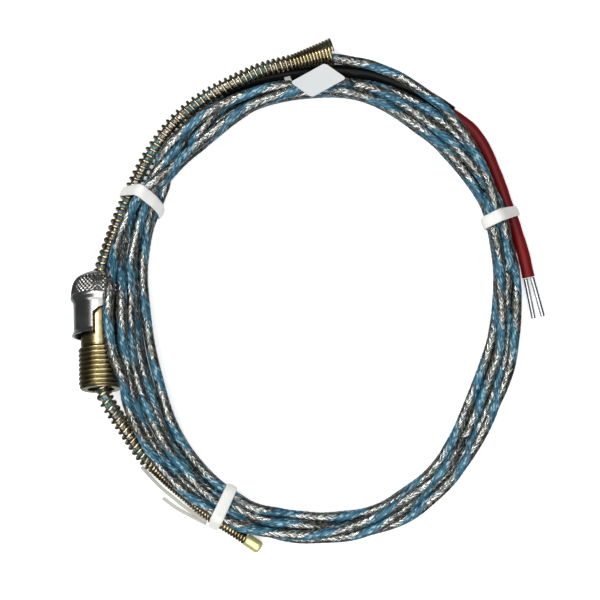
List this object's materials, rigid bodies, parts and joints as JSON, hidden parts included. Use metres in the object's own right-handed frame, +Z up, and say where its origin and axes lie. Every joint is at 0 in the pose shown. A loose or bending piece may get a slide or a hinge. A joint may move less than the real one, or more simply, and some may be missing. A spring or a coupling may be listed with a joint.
{
  "type": "bayonet spring thermocouple",
  "caption": "Spring-armoured contact thermocouple with a knurled bayonet cap, threaded brass adapter and a long braided lead coiled and tied.",
  "frame": {"origin": "middle of the footprint of the spring, bayonet fitting and tip, on the surface that the coiled part lies on", "axes": "+Z up off the surface; +Y from the tip end towards the flared end of the spring; +X from the bayonet fitting towards the wire ends"},
  "size_m": [0.1521, 0.1646, 0.023],
  "materials": {
    "nickel": "bright nickel plate, knurled head",
    "brass": "turned, slightly tarnished",
    "spring_steel": "bright drawn wire with a yellow tint",
    "stainless": "drawn wire",
    "braid": "stainless wire braid with a blue tracer",
    "black_tube": "shrunk tube, glossy",
    "red_tube": "shrunk tube, soft gloss",
    "tinned": "tinned copper",
    "white_plastic": "ribbed plastic band",
    "paper": "blank coated label",
    "glass_yarn": "varnished glass yarn"
  },
  "bodies": {
    "probe": {"armour_spring": "spring_steel", "probe_lead": "glass_yarn", "measuring_tip": "brass", "hot_junction": "stainless", "wire_positive": "stainless", "wire_negative": "stainless", "lead_free": "braid", "cable_coil": "braid", "lead_end": "braid", "black_sleeve": "black_tube", "red_sleeve": "red_tube", "leg_positive": "glass_yarn", "leg_negative": "glass_yarn", "core_positive": "stainless", "core_negative": "stainless", "ferrule_positive": "tinned", "ferrule_negative": "tinned", "tie_upper_left": "white_plastic", "tie_right": "white_plastic", "tie_bottom": "white_plastic", "label_flag": "paper"},
    "cap": {"bayonet_cap": "nickel"},
    "adapter": {"bayonet_adapter": "brass", "bayonet_pin_inner": "stainless", "bayonet_pin_outer": "stainless"}
  },
  "joints": [
    {"name": "cap_turn", "type": "hinge", "parent": "probe", "child": "cap", "pos_m": [-0.03327, 0.00765, 0.00751], "axis": [-0.0316, 0.9736, -0.226], "range_deg": [0, 75]},
    {"name": "adapter_drop", "type": "slide", "parent": "probe", "child": "adapter", "axis": [0.0316, -0.9736, 0.226], "range_m": [0, 0.0026]}
  ],
  "couplings": [
    {"joint": "adapter_drop", "follows": "cap_turn", "m_per_rad": 0.001757}
  ]
}
